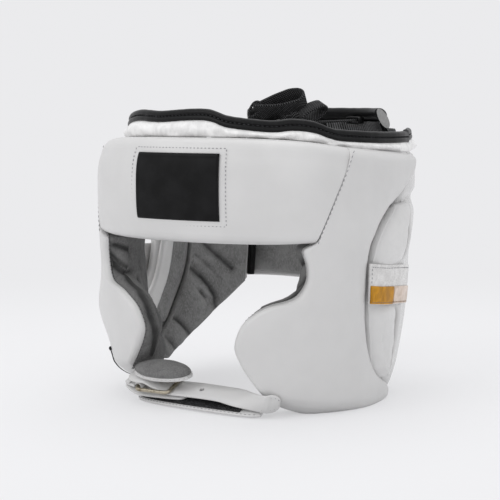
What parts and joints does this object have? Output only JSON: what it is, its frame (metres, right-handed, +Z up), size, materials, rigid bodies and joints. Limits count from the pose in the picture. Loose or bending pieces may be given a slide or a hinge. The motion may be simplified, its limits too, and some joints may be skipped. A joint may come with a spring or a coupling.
{
  "type": "boxing headguard",
  "caption": "Padded leather boxing headguard with cheek and ear protection, a laced crown, a padded rear closure and a buckled chin strap with a chin cushion.",
  "frame": {"origin": "centre of the bounding box at the floor, z = 0, where the left cheek pad rests", "axes": "+Z up; -Y the way the face looks; +X the wearer's left"},
  "size_m": [0.2158, 0.2295, 0.2159],
  "materials": {
    "white_leather": "smooth white coated leather, semi-gloss",
    "grey_suede": "napped grey suede, matte",
    "black_leather": "smooth black leather, glossy at the piping",
    "black_webbing": "flat woven black tape",
    "hook_and_loop": "black hook and loop tape",
    "gold_foil": "gold foil film",
    "tinted_film": "pale clear film over white leather",
    "buckle_metal": "dull plated steel wire",
    "patch_leather": "bare black patch, smooth"
  },
  "bodies": {
    "shell": {"brow_pad": "white_leather", "brow_lining": "grey_suede", "front_patch": "patch_leather", "left_cheek_pad": "white_leather", "left_cheek_lining": "grey_suede", "left_ear_roll": "white_leather", "left_roll_lining": "grey_suede", "left_wing_pad": "white_leather", "left_wing_lining": "grey_suede", "left_ear_tab": "white_leather", "left_tab_label": "gold_foil", "left_tab_window": "tinted_film", "right_cheek_pad": "white_leather", "right_cheek_lining": "grey_suede", "right_ear_roll": "white_leather", "right_roll_lining": "grey_suede", "right_wing_pad": "white_leather", "right_wing_lining": "grey_suede", "right_ear_tab": "white_leather", "right_tab_label": "gold_foil", "right_tab_window": "tinted_film", "right_wing_binding": "black_leather", "closure_loop_tape": "hook_and_loop", "crown_collar": "white_leather", "crown_binding": "black_leather", "rear_crown_flap": "black_leather", "rear_crown_binding": "black_leather", "left_crown_elastic": "black_webbing", "right_crown_elastic": "black_webbing", "crown_lace": "black_webbing", "lace_loops": "black_webbing", "lace_bow": "black_webbing", "lace_knot": "black_webbing", "chin_strap": "white_leather", "buckle_frame": "buckle_metal", "buckle_strap": "white_leather", "buckle_guard": "white_leather", "chin_pad_base": "white_leather", "chin_cushion": "grey_suede"},
    "closure": {"closure_pad": "white_leather", "closure_lining": "grey_suede", "closure_hook_tape": "hook_and_loop"},
    "cover": {"cover_flap": "white_leather", "cover_hook_tape": "hook_and_loop"},
    "prong": {"buckle_prong": "buckle_metal"}
  },
  "joints": [
    {"name": "closure_hinge", "type": "hinge", "parent": "shell", "child": "closure", "pos_m": [0.06571, 0.08749, 0.096], "axis": [-0.026, -0.1437, -0.9893], "range_deg": [0, 90]},
    {"name": "cover_hinge", "type": "hinge", "parent": "shell", "child": "cover", "pos_m": [0.0502, -0.0829, 0.005], "axis": [0, -0.866, -0.5], "range_deg": [0, 60]},
    {"name": "prong_hinge", "type": "hinge", "parent": "shell", "child": "prong", "pos_m": [-0.044, -0.08552, 0.01478], "axis": [0, -0.9272, -0.3746], "range_deg": [0, 3]}
  ]
}
